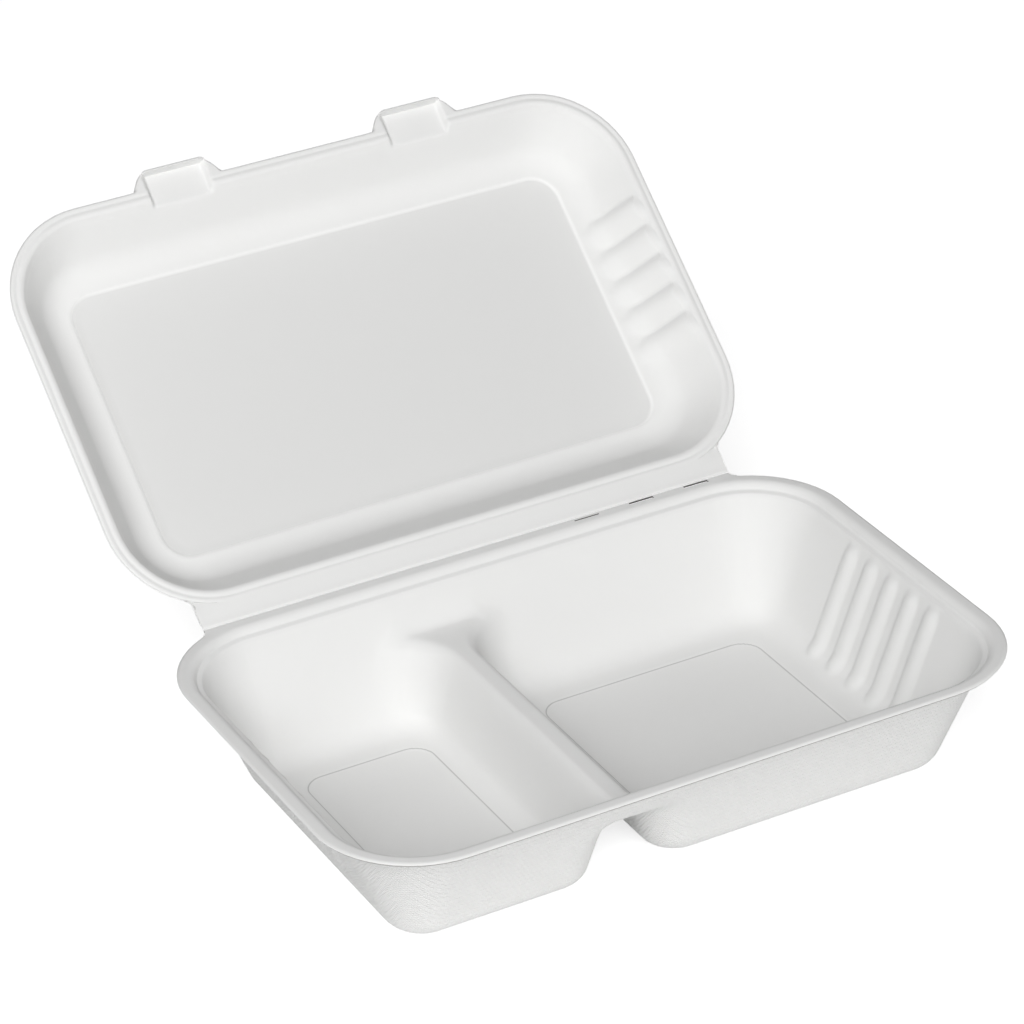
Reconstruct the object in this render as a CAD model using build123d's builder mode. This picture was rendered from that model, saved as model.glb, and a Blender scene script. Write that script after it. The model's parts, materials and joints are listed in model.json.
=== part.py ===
from build123d import *
import math
import os

# Two-compartment meal box moulded in sugar-cane fibre: a tray and the lid creased to its back rim.
# The origin is the middle of the large compartment's foot, on the table. X runs along the
# width, Y goes back to the crease and Z points up. Millimetres throughout.

# Tray rim
tray_width = 250.0
tray_depth = 165.0
tray_height = 46.0
tray_corner = 36.0
tray_wall = 1.0
tray_flange = 1.1
tray_inset = 7.0
tray_draft = 22.0
tray_shoulder = 4.5
rim_round = 0.4
rim_bead = 0.7
crease_half = 102.0
crease_bevel = 0.8
crease_corner = 3.0

# Compartments
panel_step = 0.4
floor_fillet = 8.0
panel_inset = 37.5
panel_corner = 8.0
panel_corner_small = 4.0
divider_drop = 16.0
divider_top = 10.2
divider_crest = 5.0
divider_steep = 14.0
divider_gentle = 17.0
divider_blend = 12.0
divider_from_middle = -22.35
small_panel_right = -41.0
large_panel_left = 3.0

# Stiffening ribs of the end walls
rib_count = 5
rib_pitch = 12.4
rib_radius = 4.8
rib_height = 1.6
rib_drop = 9.0
rib_shift = -2.5

# Lid, from the crease outward
lid_wall = 0.5
lid_flange = 0.7
lid_bead = 0.45
lid_width = 242.0
lid_corner = 35.0
lid_inset = 6.0
lid_draft = 30.0
lid_depth = 18.5
lid_shoulder = 5.0
lid_fillet = 12.0
lid_panel_inset = 25.0
lid_panel_step = 0.8
lid_panel_corner = 12.0
lid_setback = 5.5
strip_length = 7.0
strip_overlap = 14.0
strip_blend = 5.0
lid_rib_pitch = 12.0
lid_rib_radius = 5.5
lid_rib_height = 1.8
lid_rib_drop = 7.2
closed_gap = 0.3
lid_open_angle = 40.0

# Locking tabs on the lid's front edge
tab_from_middle = 46.5
tab_foot_half = 17.0
tab_tip_half = 12.5
tab_corner = 3.0
tab_foot_blend = 2.0
pocket_half = 11.0
pocket_depth = 1.8
pocket_back_depth = 3.2
pocket_length = 16.0
tab_clearance = 0.4
lip_thickness = 0.9
lip_rise = 1.2

# Slits beside the crease
slit_pitch = 22.0
slit_first = 2
slit_count = 3
slit_length = 9.6
slit_width = 0.6
slit_from_crease = 1.5

# Positions that follow from the sizes above
middle_x = -(tray_width / 2 - panel_inset + large_panel_left) / 2
floor_top = panel_step + tray_wall
axis_height = tray_height + closed_gap / 2
lid_length = tray_depth - strip_length - lid_setback
lid_middle = strip_length + lid_length / 2
lid_front = strip_length + lid_length
tray_slope = math.radians(tray_draft)
lid_slope = math.radians(lid_draft)
crest_height = tray_height - divider_drop
tab_reach = lid_setback + tab_clearance + lip_thickness
rib_length = 2 * tray_height


def tub(grow):
    """The hollow of the tray, or its outside with every face pushed outward by grow."""
    aside = grow / math.cos(tray_slope)
    bottom = 0 if grow else floor_top
    length = tray_width - 2 * tray_inset + 2 * aside
    breadth = tray_depth - 2 * tray_inset + 2 * aside
    corner = tray_corner - tray_inset + aside
    steep = math.radians(divider_steep)
    gentle = math.radians(divider_gentle)
    crest = crest_height - grow
    left = middle_x + divider_from_middle - divider_top / 2 + grow * math.tan(math.pi / 4 - steep / 2)
    right = middle_x + divider_from_middle + divider_top / 2 - grow * math.tan(math.pi / 4 - gentle / 2)
    with BuildPart() as body:
        with BuildSketch(Plane.XY.offset(tray_height)):
            with Locations((middle_x, 0)):
                RectangleRounded(length, breadth, corner)
        extrude(amount=-(tray_height - bottom), taper=tray_draft)
        # The divider is a ridge with one steep and one gentle side and a rounded crest
        with BuildSketch(Plane.XZ.offset(-tray_depth / 2)) as ridge:
            with BuildLine():
                Polyline(
                    (left - (crest + grow) * math.tan(steep), -grow),
                    (left, crest),
                    (right, crest),
                    (right + (crest + grow) * math.tan(gentle), -grow),
                    close=True,
                )
            make_face()
            fillet(ridge.vertices().group_by(Axis.Y)[-1], divider_crest - grow)
        extrude(amount=tray_depth, mode=Mode.SUBTRACT)
        ends = body.edges().filter_by(
            lambda e: abs(e.center().Y) > breadth / 4
            and e.center().Z < crest + divider_crest
            and e.center().Z > bottom + panel_step
            and abs(e.center().X - middle_x - divider_from_middle) < panel_inset
        )
        fillet(ends, divider_blend + grow)
        fillet(body.edges().group_by(Axis.Z)[0], floor_fillet + grow)
    return body.part


def wall_ribs(half, slope, radius, inset, top, drop, pitch, sides, grow, middle, shift):
    """Round bars lying behind an end wall, so that a strip of each stands out of it."""
    start = half - inset - drop * math.tan(slope) + (radius[0] - radius[1]) / math.cos(slope)
    rows = [middle + shift + (i - (rib_count - 1) / 2) * pitch for i in range(rib_count)]
    with BuildPart() as bars:
        for side in sides:
            for row in rows:
                spot = (middle_x + side * start, row, top - drop)
                with Locations(Location(spot, (0, side * math.degrees(slope), 0))):
                    Cylinder(radius[0] - grow, rib_length, align=(Align.CENTER, Align.CENTER, Align.MAX))
                    Sphere(radius[0] - grow)
    return bars.part


def tray_ribs(grow):
    return wall_ribs(
        tray_width / 2, tray_slope, (rib_radius, rib_height), tray_inset,
        tray_height, rib_drop, rib_pitch, (-1, 1), grow, 0, rib_shift,
    )


def panel(left, right):
    """The shallow recess in the floor of one compartment, with smaller corners on its left side."""
    with BuildPart() as plate:
        with BuildSketch(Plane.XY.offset(tray_wall)) as outline:
            with Locations(((left + right) / 2, 0)):
                Rectangle(right - left, tray_depth - 2 * panel_inset)
            fillet(outline.vertices().group_by(Axis.X)[0], panel_corner_small)
            fillet(outline.vertices().sort_by(Axis.X)[-2:], panel_corner)
        extrude(amount=panel_step)
    return plate.part


def loop_edges(body, height):
    """The closed run of edges where the tub meets the rim at this height, not the rim's outline."""
    corner_cut = tray_corner * (2 - math.sqrt(2)) + tray_inset / 2
    return body.edges().filter_by(
        lambda e: abs(e.center().Z - height) < rim_round / 4
        and abs(e.center().Y) < tray_depth / 2 - tray_inset / 2
        and abs(e.center().X - middle_x) < tray_width / 2 - tray_inset / 2
        and abs(e.center().X - middle_x) + abs(e.center().Y) < (tray_width + tray_depth) / 2 - corner_cut
    )


def rim_edges(body):
    """The rim's outer top edges, all but the one along the crease."""
    inner = loop_edges(body, tray_height)
    return body.edges().filter_by(
        lambda e: abs(e.center().Z - tray_height) < rim_round / 4
        and e.center().Y < tray_depth / 2 - rim_round / 2
        and e not in inner
    )


# Tray: rim, two hollows, divider, ribbed end walls and two flat feet, moulded in one piece
with BuildPart() as tray:
    add(tub(tray_wall))
    add(tray_ribs(tray_wall), mode=Mode.SUBTRACT)
    with BuildSketch(Plane.XY.offset(tray_height - tray_flange)) as rim:
        with Locations((middle_x, 0)):
            RectangleRounded(tray_width, tray_depth, tray_corner)
        with Locations((middle_x, tray_depth / 4)):
            Rectangle(2 * crease_half, tray_depth / 2)
        steps = rim.vertices().filter_by(lambda v: v.Y < tray_depth / 2 - rim_round and v.Y > tray_depth / 4)
        near_step = steps.filter_by(lambda v: abs(abs(v.X - middle_x) - crease_half) < rim_round)
        fillet(near_step, crease_corner)
    extrude(amount=tray_flange)
    fillet(loop_edges(tray, tray_height - tray_flange), tray_shoulder - tray_wall)
    add(tub(0) - tray_ribs(0), mode=Mode.SUBTRACT)
    fillet(loop_edges(tray, tray_height), tray_shoulder)
    fillet(rim_edges(tray.part), rim_bead)
    add(panel(middle_x - tray_width / 2 + panel_inset, middle_x + small_panel_right), mode=Mode.SUBTRACT)
    add(panel(middle_x + large_panel_left, middle_x + tray_width / 2 - panel_inset), mode=Mode.SUBTRACT)

# The slits of the crease go through the rim just in front of it
with BuildPart() as slits:
    for i in range(slit_count):
        with Locations((middle_x + (slit_first + i) * slit_pitch, tray_depth / 2 - slit_from_crease, tray_height)):
            Box(slit_length, slit_width, 2 * tray_flange)

# The rim's underside is pared away along the crease so that the lid folds on a thin line
with BuildPart() as tray_with_crease:
    add(tray.part)
    add(slits.part, mode=Mode.SUBTRACT)
    edge = tray_with_crease.edges().filter_by(Axis.X).filter_by(
        lambda e: abs(e.center().Y - tray_depth / 2) < rim_round and e.center().Z < tray_height - rim_round
    )
    chamfer(edge, crease_bevel)


def dome(grow):
    """The hollow of the lid, lying open with the crease at Y zero; grow pushes it outward."""
    aside = grow / math.cos(lid_slope)
    length = lid_width - 2 * lid_inset + 2 * aside
    breadth = lid_length - 2 * lid_inset + 2 * aside
    with BuildPart() as body:
        with BuildSketch(Plane.XY):
            with Locations((middle_x, lid_middle)):
                RectangleRounded(length, breadth, lid_corner - lid_inset + aside)
        extrude(amount=-(lid_depth + grow), taper=lid_draft)
        fillet(body.edges().group_by(Axis.Z)[0], lid_fillet + grow)
    return body.part


def lid_ribs(grow):
    return wall_ribs(
        lid_width / 2, lid_slope, (lid_rib_radius, lid_rib_height), lid_inset,
        0, lid_rib_drop, lid_rib_pitch, (1,), grow, lid_middle, 0,
    )


def pockets(grow):
    """The hollows of the two locking tabs, which take the tray's front edge when the lid is shut."""
    front = tray_depth + tab_clearance + grow
    brim = 0 if grow else tray_wall + lip_rise
    back = tray_depth - pocket_length - grow
    deep = pocket_depth + grow
    with BuildPart() as body:
        for side in (-1, 1):
            with BuildSketch(Plane.YZ.offset(middle_x + side * tab_from_middle)):
                with BuildLine():
                    Polyline(
                        (front, brim),
                        (front, -deep),
                        (back, -pocket_back_depth - grow),
                        (back, brim),
                        close=True,
                    )
                make_face()
            extrude(amount=pocket_half + grow, both=True)
    return body.part


def tab_outline(side):
    """One tab's outline, with its two outer corners rounded."""
    middle = middle_x + side * tab_from_middle
    tip = lid_front + tab_reach
    with BuildSketch() as outline:
        with BuildLine():
            Polyline(
                (middle - tab_foot_half, lid_front - lid_inset),
                (middle - tab_foot_half, lid_front),
                (middle - tab_tip_half, tip),
                (middle + tab_tip_half, tip),
                (middle + tab_foot_half, lid_front),
                (middle + tab_foot_half, lid_front - lid_inset),
                close=True,
            )
        make_face()
        fillet(outline.vertices().group_by(Axis.Y)[-1], tab_corner)
    return outline.sketch


def lid_edges(body, height):
    """The closed run of edges where the dome meets the lid's flange at this height."""
    corner_cut = lid_corner * (2 - math.sqrt(2)) + lid_inset / 2
    return body.edges().filter_by(
        lambda e: abs(e.center().Z - height) < rim_round / 4
        and abs(e.center().Y - lid_middle) < lid_length / 2 - lid_inset / 2
        and abs(e.center().X - middle_x) < lid_width / 2 - lid_inset / 2
        and abs(e.center().X - middle_x) + abs(e.center().Y - lid_middle)
        < (lid_width + lid_length) / 2 - corner_cut
    )


def lid_plate(grow, lift):
    """The stepped panel in the middle of the lid."""
    length = lid_width - 2 * lid_panel_inset + 2 * grow
    breadth = lid_length - 2 * lid_panel_inset + 2 * grow
    with BuildPart() as plate:
        with BuildSketch(Plane.XY.offset(-lid_depth - lid_panel_step - grow)):
            with Locations((middle_x, lid_middle)):
                RectangleRounded(length, breadth, lid_panel_corner + grow)
        extrude(amount=lift)
    return plate.part


# Lid, modelled lying open and level behind the tray, then raised to the angle it stands at
with BuildPart() as flat_lid:
    add(dome(lid_wall))
    add(lid_ribs(lid_wall), mode=Mode.SUBTRACT)
    add(lid_plate(lid_wall, lid_panel_step))
    with BuildSketch(Plane.XY.offset(-lid_flange)) as sheet:
        with Locations((middle_x, lid_middle)):
            RectangleRounded(lid_width, lid_length, lid_corner)
        with Locations((middle_x, strip_overlap / 2)):
            Rectangle(2 * crease_half, strip_overlap)
        inside = sheet.vertices().filter_by(
            lambda v: abs(abs(v.X - middle_x) - crease_half) < rim_round and v.Y > rim_round
        )
        fillet(inside, strip_blend)
        for side in (-1, 1):
            add(tab_outline(side))
        feet = sheet.vertices().filter_by(
            lambda v: abs(v.Y - lid_front) < rim_round
            and abs(abs(abs(v.X - middle_x) - tab_from_middle) - tab_foot_half) < rim_round
        )
        fillet(feet, tab_foot_blend)
    extrude(amount=lid_flange)
    outer = flat_lid.edges().filter_by(
        lambda e: abs(e.center().Z) < rim_round / 4 and e.center().Y > rim_round and e not in lid_edges(flat_lid, 0)
    )
    fillet(outer, lid_bead)
    fillet(lid_edges(flat_lid, -lid_flange), lid_shoulder - lid_wall)
    add(pockets(lid_wall))
    with BuildSketch(Plane.XY.offset(-pocket_depth - lid_wall)):
        for side in (-1, 1):
            add(tab_outline(side))
        with Locations((middle_x, lid_front + tab_reach)):
            Rectangle(lid_width, 2 * lip_thickness, mode=Mode.INTERSECT)
    extrude(amount=lip_rise + pocket_depth + lid_wall)
    add(dome(0) - lid_ribs(0), mode=Mode.SUBTRACT)
    fillet(lid_edges(flat_lid, 0), lid_shoulder)
    add(lid_plate(0, lid_panel_step), mode=Mode.SUBTRACT)
    add(pockets(0), mode=Mode.SUBTRACT)
    fold = flat_lid.edges().filter_by(Axis.X).filter_by(
        lambda e: abs(e.center().Y) < rim_round and e.center().Z < -rim_round
    )
    chamfer(fold, crease_bevel * lid_flange / tray_flange)

with BuildPart() as lid:
    crease = Location((0, tray_depth / 2, axis_height), (lid_open_angle, 0, 0))
    add(flat_lid.part.moved(crease * Location((0, 0, -closed_gap / 2))))

tray_with_crease.part.label = "tray"
os.makedirs("parts", exist_ok=True)
export_step(tray_with_crease.part, "parts/tray.step")
lid.part.label = "lid"
export_step(lid.part, "parts/lid.step")
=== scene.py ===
import functools
import json
import math

import bmesh
import bpy
from mathutils import Matrix, Vector


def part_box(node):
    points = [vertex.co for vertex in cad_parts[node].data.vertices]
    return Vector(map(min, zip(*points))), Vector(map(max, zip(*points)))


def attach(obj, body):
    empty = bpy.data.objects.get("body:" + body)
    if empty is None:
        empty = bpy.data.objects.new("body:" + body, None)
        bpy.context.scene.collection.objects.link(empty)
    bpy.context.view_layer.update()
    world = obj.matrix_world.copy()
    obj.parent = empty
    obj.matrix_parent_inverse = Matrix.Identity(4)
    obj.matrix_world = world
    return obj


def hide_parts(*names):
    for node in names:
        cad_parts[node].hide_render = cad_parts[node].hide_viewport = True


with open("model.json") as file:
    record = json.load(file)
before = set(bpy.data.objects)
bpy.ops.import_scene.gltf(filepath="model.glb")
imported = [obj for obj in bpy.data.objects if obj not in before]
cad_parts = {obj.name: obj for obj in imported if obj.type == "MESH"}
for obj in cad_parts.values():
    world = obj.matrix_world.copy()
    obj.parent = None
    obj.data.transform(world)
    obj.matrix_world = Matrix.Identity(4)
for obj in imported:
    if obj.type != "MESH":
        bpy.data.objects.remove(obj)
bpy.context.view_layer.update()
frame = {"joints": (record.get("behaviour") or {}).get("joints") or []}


# Tray. One sheet of sugar-cane fibre, drawn onto a screen as wet pulp and then hot-pressed in a mould.
# It has a level rim, drafted walls, soft fillets and a hollow ridge that parts the two compartments.
# Each end wall carries five ribs, and three short slits run beside the crease. Sizes are in millimetres.
MM = 0.001
crease_joint = frame["joints"][0]
crease_line = Vector((0.0, crease_joint["pos_m"][1], crease_joint["pos_m"][2])) / MM
tray_low, tray_high = [Vector([round(c / MM, 3) for c in corner]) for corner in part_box("tray")]
tray_middle = (tray_low.xy + tray_high.xy) / 2
tray_half = (tray_high.xy - tray_low.xy) / 2
tray_rim = tray_high.z
tray_corner = 36.0
tray_wall = 1.0
tray_floor = 1.4
tray_inset = 7.0
tray_draft = 22.0
tray_shoulder = 3.0
tray_floor_fillet = 11.0
tray_ledge = (2.4, 0.7, 1.6)  # depth below the mouth, height, step inwards
rim_bead = 2.0  # radius of the rolled edge
rim_roll = 132.0  # where the roll ends, 90 being level and 180 upright
rim_flat_rows = (1.65, 2.6)
edge_fade = 2.5  # the roll runs out over this length at the ends of the crease
crease_half = 102.0
crease_blend = 3.0
crease_share = 0.6  # of the wall, left at the crease
crease_pared = (0.8, 3.2)  # from the crease, where the wall starts and ends growing again
crest_height = 30.0
crest_left = -72.7
crest_right = -62.5
crest_middle = (crest_left + crest_right) / 2
crest_rounding = (11.0, 9.0)  # left and right
crest_blend = 8.0
side_left = 14.0
side_right = 17.0
ridge_fillets = (8.0, 12.0)  # left and right
corners_front = (9.0, 18.0)  # where divider and wall meet, at the floor and at the crest
corners_back = (9.5, 26.0)
floor_panels = ((-132.75, -86.25), (-42.25, 42.25))
floor_panel_half = 45.0
floor_panel_corner = 8.0
floor_panel_step = 0.4
floor_panel_slope = 0.5
slit_middles = (-1.25, 20.75, 42.75)
slit_half = 4.8
slit_rows = ((1.1, 1.7), (0.4, 1.7), (0.4, 1.7))  # from the crease to each slit's edges
edge_radius = 0.28
fan_steps = 14  # of the mesh in a corner
step_fine = 0.9  # of the mesh where it curves
step_coarse = 3.4


def arc_between(centre, radius, start, end, steps):
    """Points on an arc, with the angles in degrees."""
    turns = [math.radians(start + (end - start) * i / steps) for i in range(steps + 1)]
    return [(centre[0] + radius * math.cos(t), centre[1] + radius * math.sin(t)) for t in turns]


def drawn_wall(rim, bottom, inset, draft, shoulder, ledge, foot, bead, roll, rim_rows, wall_steps):
    """The wall's section from the rim's edge to the flat bottom, as distance from the edge and height.

    The edge is rolled down to the angle roll, and a ledge steps the wall in below the mouth."""
    lean = math.tan(math.radians(draft))
    turn = math.tan(math.radians((90 - draft) / 2))
    drop, tall, step = ledge
    edge = -bead * math.cos(math.radians(roll))
    top_flat = inset - step - shoulder * turn
    bottom_flat = inset + (rim - bottom) * lean + foot * turn
    rows = arc_between((edge, rim - bead), bead, roll, 90, 6)
    rows += [(d, rim) for d in rim_rows]
    rows += arc_between((top_flat, rim - shoulder), shoulder, 90, draft, 7)
    for share in (0.0, 0.2, 0.4, 0.6, 0.8, 1.0):
        down = drop + tall * share
        rows.append((inset - step + down * lean + step * share * share * (3 - 2 * share), rim - down))
    lower = arc_between((bottom_flat, bottom + foot), foot, 180 + draft, 270, 9)
    start = rows[-1]
    for i in range(1, wall_steps):
        share = i / wall_steps
        rows.append(tuple(u + (v - u) * share for u, v in zip(start, lower[0])))
    return rows + lower


def spread(*stops):
    """Positions from the first stop to the last; each stop is a position and the step that leads to it."""
    places = [stops[0][0]]
    for place, step in stops[1:]:
        start = places[-1]
        count = max(1, round((place - start) / step))
        places += [start + (place - start) * i / count for i in range(1, count + 1)]
    return places


class PressedSheet:
    """A sheet in a rounded rectangle: level rows down the wall, a fan in each corner, a grid inside."""

    def __init__(self, middle, half, corner, turns, height):
        self.sheet = bmesh.new()
        self.found = {}
        self.middle, self.half, self.corner, self.height = middle, half, corner, height
        self.inner = half - Vector((corner, corner))
        even = [math.pi / 2 * i / fan_steps for i in range(fan_steps + 1)]
        self.fan = sorted(set(even + list(turns)))

    def point(self, x, y, z):
        """The sheet's point at x and y, made once, at the height that the piece has there."""
        key = (round(x, 3), round(y, 3))
        if key not in self.found:
            self.found[key] = self.sheet.verts.new((x, y, self.height(x, y, z)))
        return self.found[key]

    def quilt(self, grid):
        """Faces between neighbouring rows of points, leaving out those that have no width."""
        for lower, upper in zip(grid, grid[1:]):
            for ring in zip(lower, lower[1:], upper[1:], upper):
                corners = list(dict.fromkeys(ring))
                if len(corners) > 2 and not self.sheet.faces.get(corners):
                    self.sheet.faces.new(corners)

    def lay(self, rows, columns, ranks):
        """The wall rows all round, and the flat inside them."""
        mid, half, inner = self.middle, self.half, self.inner
        for side in (-1, 1):
            self.quilt([[self.point(x, mid.y + side * (half.y - d), z) for x in columns] for d, z in rows])
            self.quilt([[self.point(mid.x + side * (half.x - d), y, z) for y in ranks] for d, z in rows])
        for sx in (-1, 1):
            for sy in (-1, 1):
                self.quilt([[self.point(mid.x + sx * (inner.x + (self.corner - d) * math.cos(t)),
                                        mid.y + sy * (inner.y + (self.corner - d) * math.sin(t)), z)
                             for t in self.fan] for d, z in rows])
        self.quilt([[self.point(x, y, rows[-1][1]) for x in columns] for y in ranks])

    def flap(self, columns, side, line, half, blend, shares, rim):
        """Carries the edge out to a straight line, with a hollow blend into the corners' arcs."""
        mid, inner, corner = self.middle, self.inner, self.corner
        deep = math.sqrt((corner + blend) ** 2 - (half + blend - inner.x) ** 2)
        reach = inner.x + (half + blend - inner.x) * corner / (corner + blend)
        places = {round(inner.x + corner * math.cos(t), 6) for t in self.fan}
        places = [x for x in places if x <= reach + 1e-6]
        across = sorted([mid.x - x for x in places] + list(columns) + [mid.x + x for x in places])
        rows = [[] for share in shares]
        for x in across:
            aside = abs(x - mid.x)
            edge = inner.y + math.sqrt(corner ** 2 - max(aside - inner.x, 0) ** 2)
            out = side * (line - mid.y)
            if aside > half + 1e-6:
                hollow = math.sqrt(max(blend ** 2 - (half + blend - aside) ** 2, 0))
                out = max(inner.y + deep - hollow, edge)
            for share, row in zip(shares, rows):
                row.append(self.point(x, mid.y + side * (edge + (out - edge) * share), rim))
        self.quilt(rows)

    def close(self):
        """Merges doubled points and turns all faces the same way, up into the hollow."""
        bmesh.ops.remove_doubles(self.sheet, verts=self.sheet.verts, dist=0.002)
        bmesh.ops.recalc_face_normals(self.sheet, faces=self.sheet.faces)
        if sum(f.normal.z for f in self.sheet.faces) < 0:
            bmesh.ops.reverse_faces(self.sheet, faces=self.sheet.faces)
        return self.sheet


def soft_most(a, b, blend):
    """The larger of two heights, with a rounded change from one to the other."""
    reach = max(blend - abs(a - b), 0.0)
    return max(a, b) + reach * reach / (4 * blend)


def soft_least(a, b, blend):
    """The smaller of two heights, with a rounded change from one to the other."""
    return -soft_most(-a, -b, blend)


def soft_step(value, start, end):
    """Goes smoothly from 0 at start to 1 at end."""
    share = min(max((value - start) / (end - start), 0.0), 1.0)
    return share * share * (3 - 2 * share)


def depth_inside(x, y, middle, half, corner):
    """Distance of a point from the edge of a rounded rectangle, counted inwards."""
    dx = abs(x - middle[0]) - half[0] + corner
    dy = abs(y - middle[1]) - half[1] + corner
    return corner - math.hypot(max(dx, 0.0), max(dy, 0.0)) - min(max(dx, dy), 0.0)


def drafted_side(height, draft, foot):
    """How far a drafted side stands back at a height from the line where its fillet leaves the floor."""
    slope = math.radians(draft)
    if height < foot * (1 - math.sin(slope)):
        return math.sqrt(max(foot ** 2 - (foot - height) ** 2, 0.0))
    return foot * math.tan((math.pi / 2 - slope) / 2) + height * math.tan(slope)


def compartment_height(x, y):
    """Height over its floor at which the nearer compartment's outline passes a point.

    The outline is rounded where the divider meets the tray's wall, more so higher up. The height is
    found by halving, because the outline only grows with it."""
    side, crest, draft, foot = 1, crest_left, side_left, ridge_fillets[0]
    if x > crest_middle:
        side, crest, draft, foot = -1, crest_right, side_right, ridge_fillets[1]
    at_floor, at_crest = corners_back if y > 0 else corners_front
    top = crest_height - tray_floor
    wall_back = drafted_side(tray_rim - tray_floor, tray_draft, tray_floor_fillet)
    wall_in = depth_inside(x, y, tray_middle, tray_half, tray_corner) - tray_inset - wall_back
    ridge_in = side * (crest - x) - drafted_side(top, draft, foot)
    if ridge_in > at_crest:
        return 0.0
    low, high = 0.0, 2 * top
    for halving in range(15):
        level = (low + high) / 2
        from_wall = wall_in + drafted_side(level, tray_draft, tray_floor_fillet)
        from_ridge = ridge_in + drafted_side(level, draft, foot)
        corner = at_floor + (at_crest - at_floor) * min(level / top, 1.0)
        room = min(from_wall, from_ridge)
        if from_wall < corner and from_ridge < corner:
            room = corner - math.hypot(corner - from_wall, corner - from_ridge)
        if room > 0:
            high = level
        else:
            low = level
    return high


def tray_height(x, y, z):
    """The wall's own height, raised where the divider stands higher, and sunk in the floor panels.

    The rim's rolled edge is laid level along the crease."""
    if z > tray_rim - rim_bead and y > tray_half.y - 4:
        z += (tray_rim - z) * (1 - soft_step(abs(x - tray_middle.x), crease_half, crease_half + edge_fade))
    wall = z - tray_floor
    inner = compartment_height(x, y)
    rounding = crest_rounding[0] if x < crest_middle else crest_rounding[1]
    ridge = soft_least(inner, crest_height - tray_floor, rounding)
    blend = max(min(max(inner - wall, 0.0), crest_blend), 0.001)
    sunk = 0.0
    for left, right in floor_panels:
        half = ((right - left) / 2, floor_panel_half)
        edge = depth_inside(x, y, ((left + right) / 2, 0.0), half, floor_panel_corner)
        sunk = max(sunk, soft_step(edge, -floor_panel_slope, floor_panel_slope))
    return tray_floor + soft_most(wall, ridge, blend) - floor_panel_step * sunk


def corner_turns(inner, corner, half, blend):
    """Angles at which a corner's arc needs a point for the straight flap beside it."""
    reach = inner + (half + blend - inner) * corner / (corner + blend)
    places = [half, half + 0.1] + [half + (reach - half) * i / 4 for i in range(1, 5)]
    return [math.acos((x - inner) / corner) for x in places]


tray_inner = tray_half - Vector((tray_corner, tray_corner))
tray_turns = corner_turns(tray_inner.x, tray_corner, crease_half, crease_blend)
last_slit_end = slit_middles[-1] + slit_half - tray_middle.x
tray_turns.append(math.acos((last_slit_end - tray_inner.x) / tray_corner))
tray_shell = PressedSheet(tray_middle, tray_half, tray_corner, tray_turns, tray_height)
tray_rows = drawn_wall(tray_rim, tray_floor, tray_inset, tray_draft, tray_shoulder, tray_ledge,
                       tray_floor_fillet, rim_bead, rim_roll, rim_flat_rows, 22)
tray_rows.append((tray_corner, tray_floor))
tray_left, tray_right = tray_middle.x - tray_inner.x, tray_middle.x + tray_inner.x
tray_columns = spread((tray_left, 1), (-122, 1.1), (-98, step_coarse), (-28, step_fine),
                      (30, step_coarse), (tray_right, step_fine))
for middle in slit_middles:
    tray_columns += [x for x in (middle - slit_half, middle + slit_half) if x < tray_right]
tray_columns = sorted(set(tray_columns))
tray_ranks = spread((-tray_inner.y, 1), (tray_inner.y, step_fine))
tray_shell.lay(tray_rows, tray_columns, tray_ranks)
tray_shell.flap(tray_columns, 1, tray_half.y, crease_half, crease_blend, (0.0, 0.5, 1.0), tray_rim)
tray_sheet = tray_shell.close()
cut = []
for face in tray_sheet.faces:
    spot = face.calc_center_median()
    for middle, (near, far) in zip(slit_middles, slit_rows):
        beside = abs(spot.x - middle) < slit_half and near < tray_half.y - spot.y < far
        if beside and spot.z > tray_rim - 0.1:
            cut.append(face)
bmesh.ops.delete(tray_sheet, geom=cut, context="FACES")


def add_node(tree, kind, settings=(), links=()):
    """Adds a node with its properties and inputs set, and with links to the sockets that feed others."""
    node = tree.nodes.new(kind)
    for key, value in dict(settings).items():
        if isinstance(key, str) and hasattr(node, key):
            setattr(node, key, value)
        else:
            node.inputs[key].default_value = value
    for key, source in dict(links).items():
        tree.links.new(source, node.inputs[key])
    return node


def reckon(tree, kind, *terms):
    """The result of one step of arithmetic on numbers and sockets."""
    numbers = {i: term for i, term in enumerate(terms) if isinstance(term, (int, float))}
    sockets = {i: term for i, term in enumerate(terms) if i not in numbers}
    return add_node(tree, "ShaderNodeMath", {"operation": kind, **numbers}, sockets).outputs[0]


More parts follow.
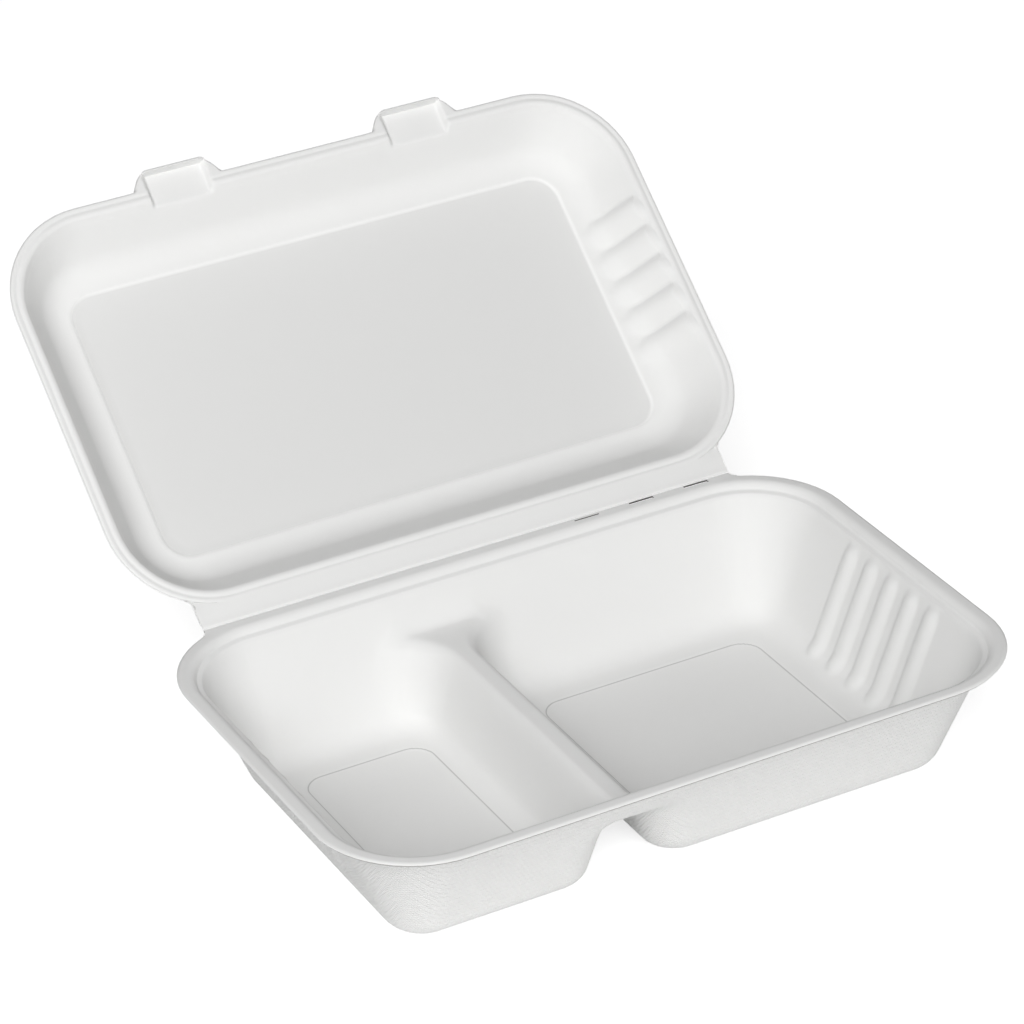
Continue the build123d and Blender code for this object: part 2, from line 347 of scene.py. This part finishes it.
def rib_tree():
    """Ribs pressed into a wall, standing out of its surface, each with rounded flanks and ends."""
    tree = bpy.data.node_groups.new("Pressed ribs", "GeometryNodeTree")
    tree.interface.new_socket("Geometry", in_out="INPUT", socket_type="NodeSocketGeometry")
    for name in ("Ribs", "Pitch", "Middle", "Half width", "Height", "Skew", "Blend", "Top", "Bottom",
                 "Top stretch", "Bottom stretch", "Start", "Reach", "Side"):
        tree.interface.new_socket(name, in_out="INPUT", socket_type="NodeSocketFloat")
    tree.interface.new_socket("Material", in_out="INPUT", socket_type="NodeSocketMaterial")
    tree.interface.new_socket("Geometry", in_out="OUTPUT", socket_type="NodeSocketGeometry")
    given = tree.nodes.new("NodeGroupInput").outputs
    calc = functools.partial(reckon, tree)
    place = add_node(tree, "GeometryNodeInputPosition")
    parts = add_node(tree, "ShaderNodeSeparateXYZ", links={0: place.outputs[0]}).outputs

    # Distance from the middle line of the nearest rib.
    last = calc("SUBTRACT", given["Ribs"], 1.0)
    steps = calc("DIVIDE", calc("SUBTRACT", parts["Y"], given["Middle"]), given["Pitch"])
    steps = calc("ADD", steps, calc("MULTIPLY", last, 0.5))
    nearest = calc("MINIMUM", calc("MAXIMUM", calc("ROUND", steps), 0.0), last)
    aside = calc("MULTIPLY", calc("SUBTRACT", steps, nearest), given["Pitch"])

    # Distance past its upper or lower end, and a swell that falls off with both.
    above = calc("MULTIPLY", calc("SUBTRACT", parts["Z"], given["Top"]), given["Top stretch"])
    below = calc("MULTIPLY", calc("SUBTRACT", given["Bottom"], parts["Z"]), given["Bottom stretch"])
    past = calc("MAXIMUM", calc("MAXIMUM", above, below), 0.0)
    away = calc("ADD", calc("MULTIPLY", aside, aside), calc("MULTIPLY", past, past))
    share = calc("DIVIDE", away, calc("MULTIPLY", given["Half width"], given["Half width"]))
    swell = calc("MULTIPLY", calc("SUBTRACT", 1.0, share), given["Height"])

    # One flank is steeper than the other by the skew.
    lean = calc("DIVIDE", aside, given["Half width"])
    lean = calc("MINIMUM", calc("MAXIMUM", lean, -1.0), 1.0)
    swell = calc("MULTIPLY", swell, calc("ADD", calc("MULTIPLY", lean, given["Skew"]), 1.0))
    swell = calc("SMOOTH_MAX", swell, 0.0, given["Blend"])

    # Only on the wall of one end.
    beyond = calc("MULTIPLY", calc("SUBTRACT", parts["X"], given["Start"]), given["Side"])
    swell = calc("MULTIPLY", swell, calc("GREATER_THAN", beyond, 0.0))
    swell = calc("MULTIPLY", swell, calc("LESS_THAN", beyond, given["Reach"]))
    outward = add_node(tree, "GeometryNodeInputNormal").outputs[0]
    shift = add_node(tree, "ShaderNodeVectorMath", {"operation": "SCALE"}, {0: outward, "Scale": swell})
    moved = add_node(tree, "GeometryNodeSetPosition",
                     links={"Geometry": given["Geometry"], "Offset": shift.outputs[0]})
    real = add_node(tree, "GeometryNodeRealizeInstances", links={0: moved.outputs[0]})
    coat = add_node(tree, "GeometryNodeSetMaterial",
                    links={"Geometry": real.outputs[0], "Material": given["Material"]})
    tree.links.new(coat.outputs[0], tree.nodes.new("NodeGroupOutput").inputs[0])
    return tree


fibre_colour = "#EDEDEC"
# Painted shade, for the floor panels' pressed lines and inside the lid's panel.
painted_shade_colour = "#BDBDBC"
# Painted shade for the tray rim's trimmed edge.
rim_edge_painted_shade_colour = "#B0AFAD"
# Painted shade for the slits' punched edges.
slit_painted_shade_colour = "#5F5E5C"
screen_pitch = 1.2  # the real mesh is about half as coarse, and is drawn like this so that it shows
pulp_grain = 2.38  # clumps of fibre that the press leaves a little uneven
floor_line_half = 0.35


def linear(code):
    """An sRGB hex colour as linear RGBA."""
    parts = [int(code[i:i + 2], 16) / 255 for i in (1, 3, 5)]
    return [c / 12.92 if c <= 0.04045 else ((c + 0.055) / 1.055) ** 2.4 for c in parts] + [1.0]


def panel_marks(tree, spot, panel, line_half):
    """Masks of a panel's painted edge line and painted inner shade. A panel is its middle, half size and
    corner.
    """
    middle, half, corner = panel
    calc = functools.partial(reckon, tree)
    sides = []
    for axis in (0, 1):
        aside = calc("ABSOLUTE", calc("SUBTRACT", spot[axis], middle[axis] * MM))
        sides.append(calc("SUBTRACT", aside, (half[axis] - corner) * MM))
    squares = [calc("POWER", calc("MAXIMUM", side, 0.0), 2.0) for side in sides]
    outer = calc("SQRT", calc("ADD", *squares))
    inner = calc("MINIMUM", calc("MAXIMUM", *sides), 0.0)
    away = calc("SUBTRACT", calc("ADD", outer, inner), corner * MM)
    line = calc("SUBTRACT", 1.0, calc("DIVIDE", calc("ABSOLUTE", away), line_half * MM))
    return calc("MAXIMUM", line, 0.0), calc("LESS_THAN", away, 0.0)


def moulded_fibre(name, colour, weave=None, panels=(), line=(painted_shade_colour, floor_line_half),
                  painted_panel_shade=0.0, lean=0.0, origin=(0.0, 0.0, 0.0)):
    """Bleached sugar-cane pulp: quite matt, with a faint unevenness from its short fibres.

    The weave of the forming screen is a fine cross-hatch where the wet pulp lay on it. Panels get a thin
    painted line in their pressed edge, standing in for the light on a step too narrow to show otherwise,
    and a faint painted shade inside."""
    coat = bpy.data.materials.new(name)
    coat.use_nodes = True
    tree = coat.node_tree
    shader = tree.nodes["Principled BSDF"]
    shader.inputs["Base Color"].default_value = linear(colour)
    shader.inputs["Roughness"].default_value = 0.72
    shader.inputs["Specular IOR Level"].default_value = 0.3
    place = add_node(tree, "ShaderNodeTexCoord").outputs["Object"]
    pulp = add_node(tree, "ShaderNodeTexNoise",
                    {"Scale": 1 / (pulp_grain * MM), "Detail": 4.0, "Roughness": 0.6}, {"Vector": place})
    skin = add_node(tree, "ShaderNodeBump", {"Strength": 0.25, "Distance": 0.12 * MM},
                    {"Height": pulp.outputs[0]})
    tree.links.new(skin.outputs[0], shader.inputs["Normal"])
    if panels:
        spot = add_node(tree, "ShaderNodeMapping",
                        {"vector_type": "TEXTURE", "Location": [c * MM for c in origin],
                         "Rotation": (lean, 0.0, 0.0)}, {"Vector": place})
        spot = add_node(tree, "ShaderNodeSeparateXYZ", links={0: spot.outputs[0]}).outputs
        edge, inside = panel_marks(tree, spot, panels[0], line[1])
        for panel in panels[1:]:
            marks = panel_marks(tree, spot, panel, line[1])
            edge = reckon(tree, "MAXIMUM", edge, marks[0])
            inside = reckon(tree, "MAXIMUM", inside, marks[1])
        # Painted shade inside a panel, then the painted line along its edge: shade on the tray's floor, a
        # highlight on the lid.
        tint = add_node(tree, "ShaderNodeMix",
                        {"data_type": "RGBA", 6: linear(colour), 7: linear(painted_shade_colour)},
                        {0: reckon(tree, "MULTIPLY", inside, painted_panel_shade)})
        tint = add_node(tree, "ShaderNodeMix", {"data_type": "RGBA", 7: linear(line[0])},
                        {0: edge, 6: tint.outputs[2]})
        tree.links.new(tint.outputs[2], shader.inputs["Base Color"])
    if weave:
        waves = 0.0
        repeat = math.tau / (weave * MM * math.sqrt(2))
        for way in ((1, 1, 1), (1, -1, -1), (-1, 1, -1), (-1, -1, 1)):
            along = add_node(tree, "ShaderNodeVectorMath", {"operation": "DOT_PRODUCT", 1: way},
                             {0: place})
            turns = reckon(tree, "MULTIPLY", along.outputs["Value"], repeat)
            waves = reckon(tree, "ADD", reckon(tree, "SINE", turns), waves)
        wires = add_node(tree, "ShaderNodeBump", {"Strength": 0.65, "Distance": 0.08 * MM},
                         {"Height": waves, "Normal": skin.outputs[0]})
        tree.links.new(wires.outputs[0], shader.inputs["Normal"])
    return coat


# The slits' punched edges are painted dark, a painted shade for the light that can't get into them. The
# rim's trimmed edge is painted a little greyer than the skin, as painted shade along it. The pressed side
# looks smooth and matt, and the side that lay on the screen is woven all over.
slit_painted_shade = moulded_fibre("Cut edges of the slits, painted dark as shade", slit_painted_shade_colour)
rim_edge_painted_shade = moulded_fibre("Trimmed edge of the rim, with painted shade", rim_edge_painted_shade_colour)
# The floor panels get a thin painted-shade line along their pressed edges.
floor_marks = [(((left + right) / 2, 0.0), ((right - left) / 2, floor_panel_half), floor_panel_corner)
               for left, right in floor_panels]
pressed_side = moulded_fibre("Hot-pressed sugar-cane fibre", fibre_colour, panels=floor_marks)
screen_side = moulded_fibre("Screen side of sugar-cane fibre", fibre_colour, screen_pitch)
ribs = rib_tree()


def press_ribs(piece, name, values):
    """Adds the rib tree to a piece as a modifier, with its inputs set by their identifiers."""
    step = piece.modifiers.new(name, "NODES")
    step.node_group = ribs
    for item in ribs.interface.items_tree:
        if item.in_out == "INPUT" and item.name in values:
            step[item.identifier] = values[item.name]


def as_piece(name, sheet):
    """The sheet as an object of its own, in millimetres until it is set in place."""
    mesh = bpy.data.meshes.new(name)
    sheet.to_mesh(mesh)
    sheet.free()
    piece = bpy.data.objects.new(name, mesh)
    bpy.context.scene.collection.objects.link(piece)
    return piece


def settle(piece, place, wall, coats):
    """Makes the pressed sheet a plain mesh in metres, sets it in place and gives it its wall and edges.

    The wall is pared thinner along the crease. The coats are those of the sheet, its back and its rim."""
    graph = bpy.context.evaluated_depsgraph_get()
    mesh = bpy.data.meshes.new_from_object(piece.evaluated_get(graph))
    piece.modifiers.clear()
    piece.data = mesh
    mesh.materials.clear()
    for coat in coats:
        mesh.materials.append(coat)
    mesh.transform(place)
    mesh.shade_smooth()
    pared = piece.vertex_groups.new(name="Wall share")
    for vertex in mesh.vertices:
        x, y, z = vertex.co / MM
        share = soft_step(math.hypot(y - crease_line.y, z - crease_line.z), *crease_pared)
        if abs(x - tray_middle.x) > crease_half + 2:
            share = 1.0
        pared.add([vertex.index], crease_share + (1 - crease_share) * share, "REPLACE")
    shell = piece.modifiers.new("Wall", "SOLIDIFY")
    shell.vertex_group = "Wall share"
    shell.thickness = wall * MM
    shell.offset = -1.0
    shell.material_offset = 1
    shell.material_offset_rim = 2
    edges = piece.modifiers.new("Soft edges", "BEVEL")
    edges.limit_method = "ANGLE"
    edges.angle_limit = math.radians(60)
    edges.width = edge_radius * MM
    edges.segments = 2
    edges.harden_normals = True


tray_piece = as_piece("Tray", tray_sheet)
for side, height, bottom in ((-1.0, 1.2, 15.0), (1.0, 1.7, 5.0)):
    press_ribs(tray_piece, "Ribs of one end wall", {
        "Ribs": 5.0, "Pitch": 12.4, "Middle": -2.5, "Half width": 4.0, "Height": height, "Skew": 0.0,
        "Blend": 0.4, "Top": 37.5, "Bottom": bottom, "Top stretch": 1.1, "Bottom stretch": 1.6,
        "Start": tray_middle.x + side * (tray_inner.x + 1), "Reach": tray_corner, "Side": side,
        "Material": pressed_side})
# The third coat, on the rim's edge, and the sixth, on the slits' edges, carry painted shade.
settle(tray_piece, Matrix.Scale(MM, 4), tray_wall,
       (pressed_side, screen_side, rim_edge_painted_shade, pressed_side, screen_side, slit_painted_shade))
# Faces beside the slits take the fourth coat, so the solidified edges round the slits get their painted
# shade.
for face in tray_piece.data.polygons:
    x, y, z = face.center / MM
    beside = min(abs(x - middle) for middle in slit_middles) < slit_half + 2
    if beside and 0.2 < tray_half.y - y < rim_flat_rows[-1] and z > tray_rim - 0.1:
        face.material_index = 3
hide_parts("tray")
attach(tray_piece, "tray")


# Lid. The same moulding goes on behind the crease: a level strip, then a shallow dome with a stepped
# panel and five ribs at its right end. Two tabs stand over the front edge, each with a pocket behind it
# that snaps over the tray's rim. It is pressed lying level behind the tray, then raised on the crease.
lid_low, lid_high = [Vector([round(c / MM, 3) for c in corner]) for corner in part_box("lid")]
lid_raise = math.radians(-crease_joint["range_deg"][0])
lid_strip = 7.0
lid_length = 152.5
lid_front = lid_strip + lid_length
lid_middle = Vector((tray_middle.x, lid_strip + lid_length / 2))
lid_half = Vector(((lid_high.x - lid_low.x) / 2, lid_length / 2))
lid_corner = 35.0
lid_wall = 0.5
lid_depth = 18.5
lid_inset = 4.6
lid_draft = 33.1
lid_shoulder = 2.2
lid_fillet = 12.0
lid_ledge = (2.2, 0.7, 0.1)  # depth below the mouth, height, step inwards
lid_bead = 0.9
lid_groove = ((1.6, 0.1), (2.0, 0.25), (2.4, 0.25), (2.8, 0.1))  # place from the edge, depth
lid_panel_inset = 25.0
lid_panel_step = 0.8
# A painted highlight along the lid panel's step, and painted shade inside the panel.
lid_painted_highlight_colour = "#F5F5F4"
lid_line_half = 0.9
lid_painted_panel_shade = 0.22
strip_blend = 5.0
fold_place = 0.55  # from the crease to the top of the fold's ridge
fold_height = 0.22
fold_end = 3.0
closed_gap = 0.3  # between rim and lid when it is shut
tab_middles = (lid_middle.x - 46.5, lid_middle.x + 46.5)
tab_foot = 17.0
tab_tip = 12.5
tab_reach = 6.8
tab_corner = 3.0
tab_core = 7.5  # half width within which the mesh runs straight out
lip_rise = 1.2
lip_inside = 165.4
lip_slope = 0.5
pocket_half = 11.3
pocket_side = 0.9
pocket_start = 140.0
pocket_back = 149.0
pocket_depth = (1.9, 3.3)  # at the lip and at the back
pocket_rounding = 1.2
step_lip = 0.12


def tab_side(y):
    """Half the width of a tab at y, narrowing to its rounded corners."""
    round_off = max(tab_corner - (lid_front + tab_reach - y), 0.0)
    cut = tab_corner - math.sqrt(max(tab_corner ** 2 - round_off ** 2, 0.0))
    return tab_foot - (tab_foot - tab_tip) * max(y - lid_front, 0.0) / tab_reach - cut


def lid_height(x, y, z):
    """The dome's own height, level where strip and tabs go on, sunk in the pockets and raised at the lips.

    A low ridge along the crease is the fold that the lid turns on."""
    if z > -lid_bead and y < lid_strip + 2:
        z *= soft_step(abs(x - lid_middle.x), crease_half, crease_half + 3)
    if y < fold_end:
        z += fold_height * min(y / fold_place, 1 - soft_step(y, fold_place, fold_end))
    for middle in tab_middles:
        aside = abs(x - middle)
        if z > -lid_bead and lid_front - 1.5 < y <= lid_front:
            z *= soft_step(aside, tab_foot - 1.5, tab_foot + 1.0)
        if aside < tab_foot and y > pocket_start:
            inside = 1 - soft_step(aside, pocket_half - pocket_side, pocket_half + pocket_side)
            back = (lip_inside - y) / (lip_inside - pocket_back)
            level = -pocket_depth[0] - (pocket_depth[1] - pocket_depth[0]) * back
            z += (soft_least(z, level, pocket_rounding) - z) * inside
            lip = soft_step(y, lip_inside - lip_slope, lip_inside)
            lip *= 1 - soft_step(aside, tab_tip - 1.0, tab_tip + 1.0)
            z += (lip_rise - z) * lip
            rim = min(lid_front + tab_reach - y, (tab_side(y) - aside) * 0.8)
            if y > lid_front and rim < lid_bead:
                z -= lid_bead - math.sqrt(max(lid_bead ** 2 - (lid_bead - max(rim, 0.0)) ** 2, 0.0))
            return z
    return z


lid_turns = corner_turns(lid_half.x - lid_corner, lid_corner, crease_half, strip_blend)
lid_shell = PressedSheet(lid_middle, lid_half, lid_corner, lid_turns, lid_height)
lid_inner = lid_shell.inner
lid_rows = drawn_wall(0.0, -lid_depth, lid_inset, lid_draft, lid_shoulder, lid_ledge, lid_fillet,
                      lid_bead, 180, (1.2,), 14)
lid_rows += [(place, -groove) for place, groove in lid_groove]
lid_rows.sort()
lid_rows += [(lid_panel_inset + place, -lid_depth - lid_panel_step * share)
             for place, share in ((-0.7, 0.0), (-0.45, 0.1), (0.45, 0.9), (0.7, 1.0), (4.0, 1.0))]
lid_rows.append((lid_corner, -lid_depth - lid_panel_step))
lid_columns = [(lid_middle.x - lid_inner.x, 1)]
for middle in tab_middles:
    lid_columns += [(middle - tab_foot, step_coarse), (middle - tab_foot + 2, 0.4),
                    (middle - tab_core, 0.5), (middle + tab_core, 3.0),
                    (middle + tab_foot - 2, 0.5), (middle + tab_foot, 0.4)]
lid_columns = spread(*lid_columns, (lid_middle.x + lid_inner.x, step_coarse))
lid_ranks = spread((lid_middle.y - lid_inner.y, 1), (53, step_coarse), (114, 0.8),
                   (lid_middle.y + lid_inner.y, step_coarse))
lid_shell.lay(lid_rows, lid_columns, lid_ranks)
lid_shell.flap(lid_columns, -1, 0.0, crease_half, strip_blend,
               (0.0, 0.3, 0.6, 0.7, 0.8, 0.87, 0.92, 0.96, 1.0), 0.0)
tab_ranks = spread((lid_front, 1), (lip_inside - 0.6, 1.2), (lip_inside + 0.1, step_lip),
                   (lid_front + tab_reach, step_lip))
for middle in tab_middles:
    across = [x for x in lid_columns if abs(x - middle) <= tab_foot + 1e-6]
    grid = []
    for y in tab_ranks:
        row = []
        for x in across:
            aside = abs(x - middle)
            rest = max(aside - tab_core, 0) / (tab_foot - tab_core)
            reach = min(aside, tab_core) + rest * (tab_side(y) - tab_core)
            row.append(lid_shell.point(middle + math.copysign(reach, x - middle), y, 0.0))
        grid.append(row)
    lid_shell.quilt(grid)

# The lid's pressed side is the same matt fibre. Its large panel is a painted shade greyer, in a lighter
# painted-highlight edge.
lid_panel_half = lid_half - Vector((lid_panel_inset, lid_panel_inset))
lid_side = moulded_fibre("Hot-pressed sugar-cane fibre of the lid", fibre_colour,
                         panels=[(lid_middle, lid_panel_half, lid_corner - lid_panel_inset)],
                         line=(lid_painted_highlight_colour, lid_line_half), painted_panel_shade=lid_painted_panel_shade,
                         lean=lid_raise, origin=crease_line)
lid_piece = as_piece("Lid", lid_shell.close())
press_ribs(lid_piece, "Ribs of the lid's end", {
    "Ribs": 5.0, "Pitch": 12.0, "Middle": lid_middle.y - 2.2, "Half width": 6.1, "Height": 1.9,
    "Skew": 0.7, "Blend": 0.4, "Top": -3.0, "Bottom": -16.8, "Top stretch": 2.4, "Bottom stretch": 3.0,
    "Start": lid_middle.x + lid_half.x - lid_panel_inset + 1, "Reach": lid_panel_inset - 3.8, "Side": 1.0,
    "Material": lid_side})
lid_place = Matrix.Translation(crease_line) @ Matrix.Rotation(lid_raise, 4, "X")
settle(lid_piece, Matrix.Scale(MM, 4) @ lid_place @ Matrix.Translation((0, 0, -closed_gap / 2)), lid_wall,
       (lid_side, screen_side, lid_side))
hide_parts("lid")
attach(lid_piece, "lid")


# Floor and light. White paper that the camera sees a little brighter, as in a shop photograph, even
# light from all round, one large soft lamp high at the front left and a weaker one low in front.
# The sizes here are in metres.
floor_half = 3.0
floor_glow = 0.65
sky_strength = 0.17
lamp_side = 1.2
lamp_aim = Vector((-0.04, 0.05, 0.05))
lamps = (("Key softbox", (-0.90, -0.99, 1.25), 22), ("Front softbox", (0.0, -1.67, 0.72), 9))

floor_mesh = bpy.data.meshes.new("Studio floor")
floor_corners = [(x * floor_half, y * floor_half, 0) for x, y in ((-1, -1), (1, -1), (1, 1), (-1, 1))]
floor_mesh.from_pydata(floor_corners, [], [(0, 1, 2, 3)])
studio_floor = bpy.data.objects.new("Studio floor", floor_mesh)
bpy.context.scene.collection.objects.link(studio_floor)
paper = bpy.data.materials.new("White studio paper")
paper.use_nodes = True
paper_shader = paper.node_tree.nodes["Principled BSDF"]
paper_shader.inputs["Base Color"].default_value = linear("#F4F4F4")
paper_shader.inputs["Roughness"].default_value = 0.9
paper_shader.inputs["Emission Color"].default_value = linear("#FFFFFF")
rays = add_node(paper.node_tree, "ShaderNodeLightPath").outputs
seen = reckon(paper.node_tree, "MAXIMUM", rays["Is Camera Ray"], rays["Is Glossy Ray"])
glow = reckon(paper.node_tree, "MULTIPLY", seen, floor_glow)
paper.node_tree.links.new(glow, paper_shader.inputs["Emission Strength"])
floor_mesh.materials.append(paper)

sky = bpy.data.worlds.new("Soft studio")
sky.use_nodes = True
sky.node_tree.nodes["Background"].inputs["Color"].default_value = linear("#FFFFFF")
sky.node_tree.nodes["Background"].inputs["Strength"].default_value = sky_strength
bpy.context.scene.world = sky

for name, place, power in lamps:
    lamp = bpy.data.lights.new(name, "AREA")
    lamp.size = lamp_side
    lamp.energy = power
    stand = bpy.data.objects.new(name, lamp)
    facing = (lamp_aim - Vector(place)).to_track_quat("-Z", "Y").to_matrix().to_4x4()
    stand.matrix_world = Matrix.Translation(place) @ facing
    bpy.context.scene.collection.objects.link(stand)


# Camera, at the photograph's angle: turned to the left, looking down, and rolled a little.
camera_turn = math.radians(-27.527)
camera_lift = math.radians(29.429)
camera_roll = math.radians(-2.262)
camera_aim = Vector((-27.35, 86.88, 53.2)) * MM
camera_distance = 1.53316
eye = bpy.data.cameras.new("Camera")
eye.lens = 156.6
right = Vector((math.cos(camera_turn), math.sin(camera_turn), 0))
level_back = Vector((math.sin(camera_turn), -math.cos(camera_turn), 0))
back = level_back * math.cos(camera_lift) + Vector((0, 0, math.sin(camera_lift)))
up = back.cross(right)
rolled_right = right * math.cos(camera_roll) + up * math.sin(camera_roll)
rolled_up = up * math.cos(camera_roll) - right * math.sin(camera_roll)
facing = Matrix((rolled_right, rolled_up, back)).transposed().to_4x4()
viewer = bpy.data.objects.new("Camera", eye)
viewer.matrix_world = Matrix.Translation(camera_aim + back * camera_distance) @ facing
bpy.context.scene.collection.objects.link(viewer)
bpy.context.scene.camera = viewer
bpy.context.scene.view_settings.view_transform = "Standard"
